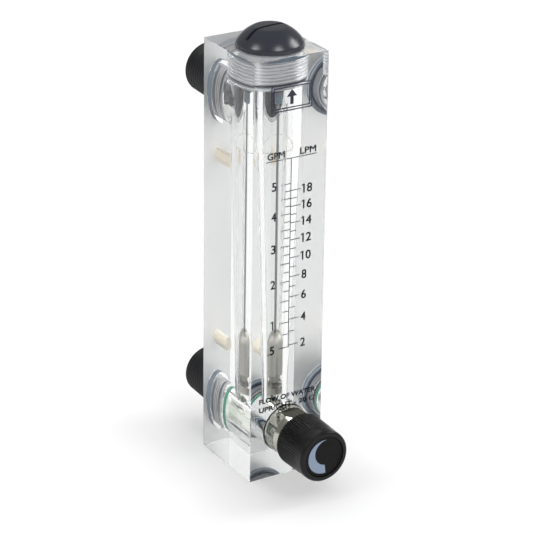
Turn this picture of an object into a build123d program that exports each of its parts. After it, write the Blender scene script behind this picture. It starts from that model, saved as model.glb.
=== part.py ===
from build123d import *
import math
import os

# Acrylic panel flow meter. A clear block stands on its lower end, +Z is up, the scale and the
# valve face -Y, the two pipe connections leave the back at +Y. Origin: middle of the bottom face.
# All sizes in millimetres.

# Block
block_width = 32.0
block_depth = 36.0
block_height = 170.0

# Metering bore, which widens upwards round the float
bore_from_front = 15.3
bore_bottom_radius = 5.5
bore_top_radius = 9.4
taper_start = 36.0
chamber_radius = 10.0
chamber_length = 24.5
chamber_top_depth = 13.0

# Top plug, screwed into the open end of the chamber
plug_thread_radius = 12.0
plug_thread_length = 9.0
plug_neck_length = 2.4
plug_neck_radius = 10.4
plug_seat_radius = 12.6
head_radius = 12.8
head_rim = 1.8
head_shoulder_radius = 6.3
head_shoulder_height = 7.5
head_height = 7.8
head_bulge_height = 0.4
head_slot_width = 1.4
head_slot_floor = 4.2
head_slot_angle = 7.0
plug_core_inner = 5.6
plug_core_outer = 9.4
plug_core_depth = 6.0
plug_boss_radius = 4.0
plug_boss_length = 5.0
rod_socket_depth = 8.0

# Guide rod, float and the stops at the two ends of the float's way
rod_radius = 0.8
rod_chamfer = 0.2
foot_height = 3.0
foot_hub_radius = 2.3
foot_ring_wall = 0.9
foot_arm_width = 1.5
foot_arms = 3
foot_arm_lap = 0.3
float_bottom = 34.9
float_length = 21.1
float_radius = 5.3
float_tip_radius = 2.0
float_nose_radius = 3.9
float_nose_length = 2.8
float_cone_length = 1.7
float_nose_bulge_depth = 0.2
float_dome_height = 3.4
float_dome_radius = 5.0
float_crown_radius = 2.0
bumper_radius = 2.6
bumper_length = 5.0
bumper_rounding = 0.5

# Pipe connections in the back of the block
port_height = 19.7
port_from_top = 21.5
port_thread_radius = 10.6
port_end_wall = 1.0
port_passage_radius = 9.7
port_seat_radius = 12.35
port_seat_depth = 3.4
adapter_flange_thickness = 1.8
adapter_length = 25.4
adapter_end_gap = 1.3
adapter_seal_radius = 0.75
adapter_bore_radius = 6.5
pipe_thread_radius = 10.8
pipe_taper = 1 / 32
pipe_thread_pitch = 1.814
pipe_thread_depth = 1.0
pipe_thread_flat = 0.3
pipe_ridges = 13
pipe_end_radius = 9.2

# Threaded inserts for the panel screws
insert_height = 46.5
insert_from_top = 47.3
insert_radius = 3.0
insert_length = 8.8
insert_thread_radius = 1.65
insert_thread_depth = 7.4
insert_countersink = 0.4

# Valve cartridge, pushed into the front of the block in line with the lower connection
valve_bore_radius = 9.7
collar_radius = 9.5
collar_length = 7.8
collar_chamfer = 1.5
spanner_flats = 14.6
spanner_start = 2.7
spanner_turn = 75.0
front_seat_radius = 10.2
front_seat_depth = 1.7
front_neck_radius = 8.6
waist_radius = 7.2
waist_half_length = 5.0
cross_hole_radius = 2.9
cross_holes = 4
rear_land_length = 5.2
seal_groove_radius = 8.0
seal_groove_width = 2.0
seal_groove_from_end = 0.75
seat_thickness = 2.5
seat_outer_radius = 6.6
seat_bore_radius = 4.0
seat_inset = 2.0
seat_bevel = 0.3
valve_chamber_radius = 5.4
valve_chamber_front = 11.0
gland_radius = 5.5
gland_depth = 5.5

# Stem with its needle, and what seals it
stem_radius = 3.0
stem_relief_radius = 2.6
stem_relief_length = 3.0
stem_flange_radius = 5.0
stem_flange_thickness = 1.2
needle_radius = 3.85
needle_tip_radius = 1.5
needle_length = 4.5
stem_seals = 2
washer_thickness = 0.8
nut_across_flats = 13.0
nut_length = 2.2
nut_turn = -16.0
nut_bevel = 0.6

# Knob and what is fixed to it
knob_back_radius = 10.7
knob_front_radius = 10.35
knob_length = 17.55
knob_rim_radius = 1.1
knob_rib_band = 13.2
knob_ribs = 60
knob_rib_depth = 0.5
knob_groove_size = 1.0
knob_back_chamfer = 0.5
knob_stem_depth = 11.7
knob_web = 1.5
cap_radius = 8.4
cap_thickness = 1.2
cap_inset = 0.45
cap_chamfer = 0.25
screw_shank_radius = 1.5
screw_shank_length = 9.0
screw_head_radius = 2.9
screw_head_height = 2.0
screw_slot_width = 0.8
screw_slot_depth = 0.9
mark_thickness = 0.12
mark_outer_radius = 6.95
mark_inner_radius = 3.55
mark_waist_radius = 3.75
mark_tip_angle = 82.0
mark_end_angle = 276.0

# Scale lines on the front face. The height above zero at one gallon a minute is a share of the
# taper's length, and grows with a power of the flow
scale_zero_height = 37.6
scale_gain_share = 0.28
scale_power = 0.7
scale_first = 0.5
scale_last = 5.0
scale_step = 0.25
litres_per_gallon = 3.785
litres_first = 2
litres_last = 18
scale_line_x = 0.45
scale_line_width = 0.3
scale_top_margin = 1.5
scale_line_thickness = 0.1
header_left = -10.45
header_right = 11.5
long_tick = 4.3
short_tick = 2.7

# Clearances
fit = 0.03
running_fit = 0.12
stop_gap = 0.3

# Places worked out from the sizes above
front_y = -block_depth / 2
back_y = block_depth / 2
bore_y = front_y + bore_from_front
bore_from_back = block_depth - bore_from_front
chamber_top = block_height - chamber_top_depth
taper_end = chamber_top - chamber_length
port_heights = {"lower": port_height, "upper": block_height - port_from_top}
insert_heights = {"lower": insert_height, "upper": block_height - insert_from_top}
thread_top = block_height - plug_neck_length
thread_bottom = thread_top - plug_thread_length
boss_bottom = thread_bottom - plug_boss_length
rod_top = boss_bottom + rod_socket_depth
bumper_bottom = boss_bottom - bumper_length
float_top = float_bottom + float_length
foot_top = float_bottom - stop_gap
foot_bottom = foot_top - foot_height
stem_seal_radius = (gland_radius - fit - stem_radius - running_fit) / 2
scale_gain = scale_gain_share * (taper_end - taper_start)
scale_line_top = taper_end - scale_top_margin

# Distances along the valve axis, counted outwards from the front face
cross_hole_at = -bore_from_front
waist_rear = cross_hole_at - waist_half_length
waist_front = cross_hole_at + waist_half_length
valve_end = waist_rear - rear_land_length
port_thread_depth = block_depth + valve_end - port_end_wall
adapter_insertion = port_thread_depth - adapter_end_gap
seat_rear = valve_end + seat_inset
seat_front = seat_rear + seat_thickness
groove_rear = valve_end + seal_groove_from_end
groove_front = groove_rear + seal_groove_width
flange_rear = seat_front + stop_gap
flange_front = flange_rear + stem_flange_thickness
nut_face = collar_length + nut_length
knob_back = nut_face + stop_gap
knob_front = knob_back + knob_length
stem_end = knob_back + knob_stem_depth
cap_front = knob_front - cap_inset
cap_back = cap_front - cap_thickness
screw_seat = stem_end + fit + knob_web

# Planes through an axis: x is the radius and y runs along the axis
bore_plane = Plane(origin=(0, bore_y, 0), x_dir=(1, 0, 0), z_dir=(0, -1, 0))
valve_plane = Plane(origin=(0, front_y, port_height), x_dir=(1, 0, 0), z_dir=(0, 0, -1))


def back_plane(height):
    """Plane through an axis that leaves the back face at a height."""
    return Plane(origin=(0, back_y, height), x_dir=(1, 0, 0), z_dir=(0, 0, 1))


def across_valve(distance):
    """Plane square to the valve axis, with x to the right and y up."""
    return Plane(origin=(0, front_y - distance, port_height), x_dir=(1, 0, 0), z_dir=(0, -1, 0))


def axis_of(plane):
    """The axis that a plane's sketches are turned about."""
    return Axis(plane.origin, plane.y_dir)


def outline(plane, points):
    """Closed outline of (radius, distance) points in a plane through an axis."""
    with BuildSketch(plane) as shape:
        with BuildLine():
            Polyline(points, close=True)
        make_face()
    return shape.sketch


def band(plane, inner, outer, start, end):
    """Outline of a plain ring or disc between two radii and two distances."""
    return outline(plane, [(inner, start), (outer, start), (outer, end), (inner, end)])


def round_section(plane, inner, outer, distance):
    """Round section of an O-ring that fills the room between two radii."""
    with BuildSketch(plane) as shape:
        with Locations(((inner + outer) / 2, distance)):
            Circle((outer - inner) / 2)
    return shape.sketch


def keep(piece, name):
    """Label a finished piece and write it under the same name."""
    piece.part.label = name
    export_step(piece.part, f"parts/{name}.step")


os.makedirs("parts", exist_ok=True)

# Clear acrylic block, with every bore that is drilled into it
with BuildPart() as block:
    with Locations((0, 0, block_height / 2)):
        Box(block_width, block_depth, block_height)
    metering_bore = [
        (0, port_height),
        (bore_bottom_radius, port_height),
        (bore_bottom_radius, taper_start),
        (bore_top_radius, taper_end),
        (chamber_radius, taper_end),
        (chamber_radius, chamber_top),
        (plug_thread_radius, chamber_top),
        (plug_thread_radius, block_height - plug_neck_length),
        (plug_seat_radius, block_height - plug_neck_length),
        (plug_seat_radius, block_height),
        (0, block_height),
    ]
    revolve(outline(bore_plane, metering_bore), axis=axis_of(bore_plane), mode=Mode.SUBTRACT)
    passage_ends = {"lower": block_depth + valve_end, "upper": bore_from_back}
    port_bore = [
        (0, -port_thread_depth),
        (port_thread_radius, -port_thread_depth),
        (port_thread_radius, -port_seat_depth),
        (port_seat_radius, -port_seat_depth),
        (port_seat_radius, 0),
        (0, 0),
    ]
    for end, height in port_heights.items():
        plane = back_plane(height)
        revolve(outline(plane, port_bore), axis=axis_of(plane), mode=Mode.SUBTRACT)
        passage = band(plane, 0, port_passage_radius, -passage_ends[end], -port_thread_depth)
        revolve(passage, axis=axis_of(plane), mode=Mode.SUBTRACT)
    for height in insert_heights.values():
        plane = back_plane(height)
        hole = band(plane, 0, insert_radius + fit, -insert_length, 0)
        revolve(hole, axis=axis_of(plane), mode=Mode.SUBTRACT)
    valve_bore = [
        (0, valve_end),
        (valve_bore_radius, valve_end),
        (valve_bore_radius, -front_seat_depth),
        (front_seat_radius, -front_seat_depth),
        (front_seat_radius, 0),
        (0, 0),
    ]
    revolve(outline(valve_plane, valve_bore), axis=axis_of(valve_plane), mode=Mode.SUBTRACT)
keep(block, "block")

# Slotted plug that closes the top of the chamber and holds the guide rod
with BuildPart() as top_plug:
    seat = block_height
    with BuildSketch(bore_plane):
        with BuildLine():
            Polyline(
                (0, seat + head_height),
                (0, boss_bottom),
                (plug_boss_radius, boss_bottom),
                (plug_boss_radius, thread_bottom),
                (plug_core_inner, thread_bottom),
                (plug_core_inner, thread_bottom + plug_core_depth),
                (plug_core_outer, thread_bottom + plug_core_depth),
                (plug_core_outer, thread_bottom),
                (plug_thread_radius - fit, thread_bottom),
                (plug_thread_radius - fit, thread_top - fit),
                (plug_neck_radius, thread_top - fit),
                (plug_neck_radius, seat),
                (head_radius, seat),
                (head_radius, seat + head_rim),
            )
            ThreePointArc(
                (head_radius, seat + head_rim),
                (
                    (head_radius + head_shoulder_radius) / 2 + head_bulge_height,
                    seat + (head_rim + head_shoulder_height) / 2 + head_bulge_height,
                ),
                (head_shoulder_radius, seat + head_shoulder_height),
            )
            ThreePointArc(
                (head_shoulder_radius, seat + head_shoulder_height),
                (
                    head_shoulder_radius / 2,
                    seat + head_height - (head_height - head_shoulder_height) / 4,
                ),
                (0, seat + head_height),
            )
        make_face()
    revolve(axis=axis_of(bore_plane))
    socket = band(bore_plane, 0, rod_radius + fit, boss_bottom, rod_top)
    revolve(socket, axis=axis_of(bore_plane), mode=Mode.SUBTRACT)
    with BuildSketch(Plane.XY.offset(seat + head_slot_floor)):
        with Locations((0, bore_y)):
            Rectangle(2 * head_radius + 1, head_slot_width, rotation=head_slot_angle)
    extrude(amount=head_height, mode=Mode.SUBTRACT)
keep(top_plug, "top_plug")

# O-ring squeezed between the plug's neck and the rim of the chamber
with BuildPart() as plug_seal:
    ring_middle = block_height - plug_neck_length / 2
    section = round_section(bore_plane, plug_neck_radius + fit, plug_seat_radius - fit, ring_middle)
    revolve(section, axis=axis_of(bore_plane))
keep(plug_seal, "plug_seal")

# Straight rod that the float slides on
with BuildPart() as guide_rod:
    revolve(band(bore_plane, 0, rod_radius, foot_bottom, rod_top), axis=axis_of(bore_plane))
    chamfer(guide_rod.edges().filter_by(GeomType.CIRCLE), rod_chamfer)
keep(guide_rod, "guide_rod")

# Sleeve on the rod that stops the float at the top
with BuildPart() as float_bumper:
    sleeve = band(bore_plane, rod_radius + fit, bumper_radius, bumper_bottom, boss_bottom)
    revolve(sleeve, axis=axis_of(bore_plane))
    fillet(float_bumper.edges().group_by(Axis.Z)[0].sort_by(SortBy.LENGTH)[-1], bumper_rounding)
keep(float_bumper, "float_bumper")

# Spoked foot, pressed into the narrow end of the bore, which centres the rod under the float
with BuildPart() as rod_foot:
    foot_outer = bore_bottom_radius - fit
    for start, end in ((rod_radius + fit, foot_hub_radius), (foot_outer - foot_ring_wall, foot_outer)):
        revolve(band(bore_plane, start, end, foot_bottom, foot_top), axis=axis_of(bore_plane))
    arm_inner = foot_hub_radius - foot_arm_lap
    arm_outer = foot_outer - foot_ring_wall + foot_arm_lap
    with BuildSketch(Plane.XY.offset(foot_bottom)):
        with Locations((0, bore_y)):
            with PolarLocations(0, foot_arms, start_angle=90):
                with Locations(((arm_inner + arm_outer) / 2, 0)):
                    Rectangle(arm_outer - arm_inner, foot_arm_width)
    extrude(amount=foot_height)
keep(rod_foot, "rod_foot")

# Float: a turned steel body with a domed top and a stepped nose, drilled for the rod
with BuildPart() as meter_float:
    hole = rod_radius + running_fit
    nose_top = float_bottom + float_nose_length
    cone_top = nose_top + float_cone_length
    dome_bottom = float_top - float_dome_height
    with BuildSketch(bore_plane):
        with BuildLine():
            Polyline((hole, float_top), (hole, float_bottom), (float_tip_radius, float_bottom))
            ThreePointArc(
                (float_tip_radius, float_bottom),
                (
                    (float_tip_radius + float_nose_radius) / 2 + float_nose_bulge_depth,
                    (float_bottom + nose_top) / 2 - float_nose_bulge_depth,
                ),
                (float_nose_radius, nose_top),
            )
            Polyline((float_nose_radius, nose_top), (float_radius, cone_top), (float_radius, dome_bottom))
            RadiusArc(
                (float_radius, dome_bottom),
                (float_crown_radius, float_top),
                -float_dome_radius,
            )
            Line((float_crown_radius, float_top), (hole, float_top))
        make_face()
    revolve(axis=axis_of(bore_plane))
keep(meter_float, "float")

# The turns of the tapered pipe thread, each as a ridge of its own
thread_start = (adapter_length - pipe_ridges * pipe_thread_pitch) / 2
pipe_thread = []
for ridge in range(pipe_ridges):
    ridge_start = thread_start + ridge * pipe_thread_pitch
    crest = pipe_thread_radius - pipe_taper * ridge_start
    crest_start = ridge_start + (pipe_thread_pitch - pipe_thread_flat) / 2
    pipe_thread += [
        (crest - pipe_thread_depth, ridge_start),
        (crest, crest_start),
        (crest, crest_start + pipe_thread_flat),
    ]

# Pipe connections: a black adapter with its flange let into the back of the block, and its O-ring
for end, height in port_heights.items():
    plane = back_plane(height)
    with BuildPart() as adapter:
        shape = [
            (adapter_bore_radius, -adapter_insertion),
            (port_thread_radius - fit, -adapter_insertion),
            (port_thread_radius - fit, -adapter_flange_thickness),
            (port_seat_radius - fit, -adapter_flange_thickness),
            (port_seat_radius - fit, 0),
            (pipe_thread_radius - pipe_thread_depth, 0),
            *pipe_thread,
            (pipe_end_radius, adapter_length - thread_start),
            (pipe_end_radius, adapter_length),
            (adapter_bore_radius, adapter_length),
        ]
        revolve(outline(plane, shape), axis=axis_of(plane))
    keep(adapter, f"{end}_adapter")

    with BuildPart() as adapter_seal:
        middle = -(port_seat_depth + adapter_flange_thickness) / 2
        ring_outer = port_seat_radius - fit
        section = round_section(plane, ring_outer - 2 * adapter_seal_radius, ring_outer, middle)
        revolve(section, axis=axis_of(plane))
    keep(adapter_seal, f"{end}_adapter_seal")

# Brass inserts that take the panel screws
for end, height in insert_heights.items():
    plane = back_plane(height)
    with BuildPart() as insert:
        revolve(band(plane, 0, insert_radius, -insert_length, 0), axis=axis_of(plane))
        thread = band(plane, 0, insert_thread_radius, -insert_thread_depth, 0)
        revolve(thread, axis=axis_of(plane), mode=Mode.SUBTRACT)
        chamfer(insert.edges().group_by(Axis.Y)[-1].sort_by(SortBy.LENGTH)[0], insert_countersink)
    keep(insert, f"{end}_insert")

# Valve body: a plated brass cartridge with a waist that the flow leaves through. The collar that
# stands out of the block has two flats for a spanner
with BuildPart() as valve_body:
    land = valve_bore_radius - fit
    outside = [
        (0, valve_end),
        (land, valve_end),
        (land, groove_rear),
        (seal_groove_radius, groove_rear),
        (seal_groove_radius, groove_front),
        (land, groove_front),
        (land, waist_rear),
        (waist_radius, waist_rear),
        (waist_radius, waist_front),
        (land, waist_front),
        (land, -front_seat_depth),
        (front_neck_radius, -front_seat_depth),
        (front_neck_radius, 0),
        (collar_radius, 0),
        (collar_radius, collar_length - collar_chamfer),
        (collar_radius - collar_chamfer, collar_length),
        (0, collar_length),
    ]
    revolve(outline(valve_plane, outside), axis=axis_of(valve_plane))
    inside = [
        (0, valve_end),
        (seat_outer_radius, valve_end),
        (seat_outer_radius, seat_front),
        (valve_chamber_radius, seat_front),
        (valve_chamber_radius, -valve_chamber_front),
        (stem_radius + running_fit, -valve_chamber_front),
        (stem_radius + running_fit, -gland_depth),
        (gland_radius, -gland_depth),
        (gland_radius, collar_length),
        (0, collar_length),
    ]
    revolve(outline(valve_plane, inside), axis=axis_of(valve_plane), mode=Mode.SUBTRACT)
    for turn in range(cross_holes):
        side = Plane(origin=(0, bore_y, port_height), x_dir=(0, 1, 0), z_dir=(0, 0, 1))
        side = side.rotated((turn * 360 / cross_holes, 0, 0))
        with BuildSketch(side.offset(valve_chamber_radius / 2)):
            Circle(cross_hole_radius)
        extrude(amount=waist_radius, mode=Mode.SUBTRACT)
    with BuildSketch(across_valve(spanner_start)):
        with PolarLocations((spanner_flats + collar_radius) / 2, 2, start_angle=spanner_turn):
            Rectangle(collar_radius, 2 * collar_radius)
    extrude(amount=collar_length, mode=Mode.SUBTRACT)
keep(valve_body, "valve_body")

# Green O-ring that seals the inner end of the valve body against the block
with BuildPart() as valve_seal:
    middle = (groove_rear + groove_front) / 2
    section = round_section(valve_plane, seal_groove_radius + fit, valve_bore_radius - fit, middle)
    revolve(section, axis=axis_of(valve_plane))
keep(valve_seal, "valve_seal")

# O-ring under the collar, at the front face
with BuildPart() as collar_seal:
    middle = -front_seat_depth / 2
    section = round_section(valve_plane, front_neck_radius + fit, front_seat_radius - fit, middle)
    revolve(section, axis=axis_of(valve_plane))
keep(collar_seal, "collar_seal")

# Soft seat ring that the needle closes
with BuildPart() as valve_seat:
    ring = band(valve_plane, seat_bore_radius, seat_outer_radius - fit, seat_rear, seat_front)
    revolve(ring, axis=axis_of(valve_plane))
    chamfer(valve_seat.edges().group_by(Axis.Y)[-1].sort_by(SortBy.LENGTH)[0], seat_bevel)
keep(valve_seat, "valve_seat")

# Valve stem: needle, flange, threaded shank and the end that carries the knob
with BuildPart() as valve_stem:
    shape = [
        (0, flange_rear - needle_length),
        (needle_tip_radius, flange_rear - needle_length),
        (needle_radius, flange_rear),
        (stem_flange_radius, flange_rear),
        (stem_flange_radius, flange_front),
        (stem_relief_radius, flange_front),
        (stem_relief_radius, flange_front + stem_relief_length),
        (stem_radius, flange_front + stem_relief_length),
        (stem_radius, stem_end),
        (0, stem_end),
    ]
    revolve(outline(valve_plane, shape), axis=axis_of(valve_plane))
    screw_hole = band(valve_plane, 0, screw_shank_radius + fit, stem_end - screw_shank_length, stem_end)
    revolve(screw_hole, axis=axis_of(valve_plane), mode=Mode.SUBTRACT)
keep(valve_stem, "valve_stem")

# O-rings that pack the stem in the gland, one behind the other
for index in range(stem_seals):
    with BuildPart() as stem_seal:
        middle = stem_seal_radius - gland_depth + fit + index * (2 * stem_seal_radius + fit)
        section = round_section(valve_plane, stem_radius + running_fit, gland_radius - fit, middle)
        revolve(section, axis=axis_of(valve_plane))
    keep(stem_seal, f"stem_seal_{index + 1}")

# Washer that the gland nut presses on the packing
with BuildPart() as gland_washer:
    washer_back = -gland_depth + fit + stem_seals * (2 * stem_seal_radius + fit)
    washer_front = washer_back + washer_thickness
    ring = band(valve_plane, stem_radius + running_fit, gland_radius - fit, washer_back, washer_front)
    revolve(ring, axis=axis_of(valve_plane))
keep(gland_washer, "gland_washer")

# Gland nut: a hexagon with a threaded shank
with BuildPart() as gland_nut:
    shank = band(valve_plane, 0, gland_radius - fit, washer_front, collar_length)
    revolve(shank, axis=axis_of(valve_plane))
    with BuildSketch(across_valve(collar_length)):
        RegularPolygon(nut_across_flats / 2, 6, major_radius=False, rotation=nut_turn)
    extrude(amount=nut_length)
    corner = nut_across_flats / math.sqrt(3)
    flat = nut_across_flats / 2
    bevel = [(flat, nut_face), (corner + 1, nut_face), (corner + 1, nut_face - nut_bevel)]
    revolve(outline(valve_plane, bevel), axis=axis_of(valve_plane), mode=Mode.SUBTRACT)
    bore = band(valve_plane, 0, stem_radius + running_fit, washer_front, nut_face)
    revolve(bore, axis=axis_of(valve_plane), mode=Mode.SUBTRACT)
keep(gland_nut, "gland_nut")

# Ribbed knob
with BuildPart() as knob:
    with BuildSketch(valve_plane):
        with BuildLine():
            Polyline(
                (0, knob_front),
                (0, knob_back),
                (knob_back_radius - knob_back_chamfer, knob_back),
                (knob_back_radius, knob_back + knob_back_chamfer),
                (knob_front_radius, knob_front - knob_rim_radius),
            )
            RadiusArc(
                (knob_front_radius, knob_front - knob_rim_radius),
                (knob_front_radius - knob_rim_radius, knob_front),
                -knob_rim_radius,
            )
            Line((knob_front_radius - knob_rim_radius, knob_front), (0, knob_front))
        make_face()
    revolve(axis=axis_of(valve_plane))
    with BuildSketch(across_valve(knob_back)):
        with PolarLocations(knob_back_radius + knob_groove_size - knob_rib_depth, knob_ribs):
            RegularPolygon(knob_groove_size, 4)
    extrude(amount=knob_rib_band, mode=Mode.SUBTRACT)
    hollow = [
        (0, knob_back),
        (stem_radius + fit, knob_back),
        (stem_radius + fit, stem_end + fit),
        (screw_shank_radius + running_fit, stem_end + fit),
        (screw_shank_radius + running_fit, screw_seat),
        (screw_head_radius + running_fit, screw_seat),
        (screw_head_radius + running_fit, cap_back),
        (cap_radius + fit, cap_back),
        (cap_radius + fit, knob_front),
        (0, knob_front),
    ]
    revolve(outline(valve_plane, hollow), axis=axis_of(valve_plane), mode=Mode.SUBTRACT)
keep(knob, "knob")

# Slotted screw that holds the knob on the stem, hidden by the cap
with BuildPart() as knob_screw:
    shape = [
        (0, stem_end - screw_shank_length + stop_gap),
        (screw_shank_radius, stem_end - screw_shank_length + stop_gap),
        (screw_shank_radius, screw_seat),
        (screw_head_radius, screw_seat),
        (screw_head_radius, screw_seat + screw_head_height),
        (0, screw_seat + screw_head_height),
    ]
    revolve(outline(valve_plane, shape), axis=axis_of(valve_plane))
    with BuildSketch(across_valve(screw_seat + screw_head_height - screw_slot_depth)):
        Rectangle(2 * screw_head_radius + 1, screw_slot_width)
    extrude(amount=screw_slot_depth, mode=Mode.SUBTRACT)
keep(knob_screw, "knob_screw")

# Flat cap pressed into the face of the knob
with BuildPart() as knob_cap:
    revolve(band(valve_plane, 0, cap_radius, cap_back, cap_front), axis=axis_of(valve_plane))
    chamfer(knob_cap.edges().group_by(Axis.Y)[0], cap_chamfer)
keep(knob_cap, "knob_cap")

# Tapered arc on the cap, which grows the way the valve opens
with BuildPart() as knob_mark:
    with BuildSketch(across_valve(cap_front)):
        with BuildLine():
            tip = Vector(mark_outer_radius, 0).rotate(Axis.Z, mark_tip_angle)
            far = Vector(mark_outer_radius, 0).rotate(Axis.Z, mark_end_angle)
            near = Vector(mark_inner_radius, 0).rotate(Axis.Z, mark_end_angle)
            ThreePointArc(tip, (-mark_outer_radius, 0), far)
            Line(far, near)
            ThreePointArc(near, (-mark_waist_radius, 0), tip)
        make_face()
    extrude(amount=mark_thickness)
keep(knob_mark, "knob_mark")


def scale_height(gallons):
    """Height of a flow on the scale, from the taper's power law."""
    return scale_zero_height + scale_gain * gallons**scale_power


# Printed lines of the two scales, with gallons a minute on the left and litres on the right
with BuildPart() as scale_lines:
    with BuildSketch(Plane(origin=(0, front_y, 0), x_dir=(1, 0, 0), z_dir=(0, -1, 0))):
        lowest = scale_height(scale_first)
        middle = scale_line_x
        with Locations((middle, (lowest + scale_line_top) / 2)):
            Rectangle(scale_line_width, scale_line_top - lowest + scale_line_width)
        with Locations(((header_left + header_right) / 2, scale_line_top)):
            Rectangle(header_right - header_left, scale_line_width)
        for step in range(round((scale_last - scale_first) / scale_step) + 1):
            gallons = scale_first + step * scale_step
            tick = long_tick if step % 2 == 0 else short_tick
            with Locations((middle - tick / 2, scale_height(gallons))):
                Rectangle(tick, scale_line_width)
        for litres in range(litres_first, litres_last + 1):
            tick = long_tick if litres % 2 == 0 else short_tick
            with Locations((middle + tick / 2, scale_height(litres / litres_per_gallon))):
                Rectangle(tick, scale_line_width)
    extrude(amount=scale_line_thickness)
keep(scale_lines, "scale_lines")
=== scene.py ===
import math

import bmesh
import bpy
import numpy as np
from mathutils import Matrix, Vector


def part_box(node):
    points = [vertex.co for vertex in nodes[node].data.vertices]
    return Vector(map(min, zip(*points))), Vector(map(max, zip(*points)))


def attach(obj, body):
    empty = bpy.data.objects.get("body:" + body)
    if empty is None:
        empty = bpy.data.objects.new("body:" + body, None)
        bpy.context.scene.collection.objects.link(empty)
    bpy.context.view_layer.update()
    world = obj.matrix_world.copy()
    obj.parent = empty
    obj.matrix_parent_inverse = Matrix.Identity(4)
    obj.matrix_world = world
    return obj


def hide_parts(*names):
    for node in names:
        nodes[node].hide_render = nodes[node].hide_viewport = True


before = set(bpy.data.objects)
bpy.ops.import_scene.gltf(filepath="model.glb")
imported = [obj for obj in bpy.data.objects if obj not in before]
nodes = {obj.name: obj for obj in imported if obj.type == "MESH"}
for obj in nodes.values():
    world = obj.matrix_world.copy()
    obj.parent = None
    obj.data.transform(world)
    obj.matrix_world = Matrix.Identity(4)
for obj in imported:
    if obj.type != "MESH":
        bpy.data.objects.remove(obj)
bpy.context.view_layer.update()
MM = 0.001

# Camera. It stands where the photograph was taken from: left of the meter, in front of it and
# above it, with a long lens. Its place and turn come from the seven corners seen of the block.
CAMERA_PLACE = Vector((-442.975, -720.496, 448.576)) * MM
CAMERA_AZIMUTH = math.radians(-31.667)
CAMERA_ELEVATION = math.radians(23.503)
CAMERA_ROLL = math.radians(0.760)
CAMERA_LENS = 163.16
SENSOR_WIDTH = 36.0

back = Vector(
    (
        math.sin(CAMERA_AZIMUTH) * math.cos(CAMERA_ELEVATION),
        -math.cos(CAMERA_AZIMUTH) * math.cos(CAMERA_ELEVATION),
        math.sin(CAMERA_ELEVATION),
    )
)
right = Vector((math.cos(CAMERA_AZIMUTH), math.sin(CAMERA_AZIMUTH), 0))
up = back.cross(right)
camera_x = right * math.cos(CAMERA_ROLL) + up * math.sin(CAMERA_ROLL)
camera_y = up * math.cos(CAMERA_ROLL) - right * math.sin(CAMERA_ROLL)
camera = bpy.data.objects.new("camera", bpy.data.cameras.new("camera"))
camera.data.lens = CAMERA_LENS
camera.data.sensor_width = SENSOR_WIDTH
camera.data.clip_end = 10
turn = Matrix((camera_x, camera_y, back)).transposed().to_4x4()
camera.matrix_world = Matrix.Translation(CAMERA_PLACE) @ turn
bpy.context.scene.collection.objects.link(camera)
bpy.context.scene.camera = camera

# Block. One piece of cast acrylic, its edges just broken. Front, sides and foot are polished, the
# top is milled and the back is left satin. The bore is reamed to a taper. Its mouth and the pipe
# ports are tapped; their crests are painted silvery and their roots dark, as painted shade. The
# insert holes are drilled, with the warm glow of the brass inside them painted on.
ROUND_STEPS = 144
MERGE = 2e-6
EDGE_BREAK = 0.18
BORE_Y = -2.7
BORE_FLOOR = 20
BORE_NARROW, BORE_WIDE = 5.5, 9.4
TAPER_START, TAPER_END = 36, 132.5
CHAMBER_RADIUS = 10
MOUTH_START, MOUTH_END = 157, 167.6
MOUTH_RADIUS = 12
PLUG_SEAT = 12.6
PLUG_PITCH = 1.3
PLUG_THREAD = 12.0
PLUG_THREAD_DEPTH = 0.75
VALVE_FLOOR, VALVE_STEP = -25.5, -1.7
VALVE_RADIUS, VALVE_MOUTH = 9.7, 10.2
PORT_HEIGHTS = (19.7, 148.5)
PASSAGE_ENDS = (7.5, BORE_Y)
PORT_RADIUS = 9.7
PORT_START, PORT_END = 7.7, 14.6
PORT_PITCH = 1.2
PORT_THREAD = 10.6
PORT_THREAD_DEPTH = 0.95
FLANGE_SEAT = 12.35
INSERT_HEIGHTS = (46.5, 122.7)
INSERT_FLOOR, INSERT_RADIUS = 9.0, 3.03
THREAD_FLAT = 0.07
CUT_CLEAR = 1
ACRYLIC_INDEX = 1.49
SHARP = math.radians(24)
angle = np.linspace(0, 2 * math.pi, ROUND_STEPS + 1)


class Wire:
    """A shader socket in sums and products: each operator adds one Math node."""

    def __init__(self, finish, socket):
        self.finish = finish
        self.socket = socket

    def maths(self, operation, *values):
        return self.finish.maths(operation, *values)

    def __add__(self, other):
        return self.maths("ADD", self, other)

    def __sub__(self, other):
        return self.maths("SUBTRACT", self, other)

    def __rsub__(self, other):
        return self.maths("SUBTRACT", other, self)

    def __mul__(self, other):
        return self.maths("MULTIPLY", self, other)

    def __truediv__(self, other):
        return self.maths("DIVIDE", self, other)

    __radd__ = __add__
    __rmul__ = __mul__


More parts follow.
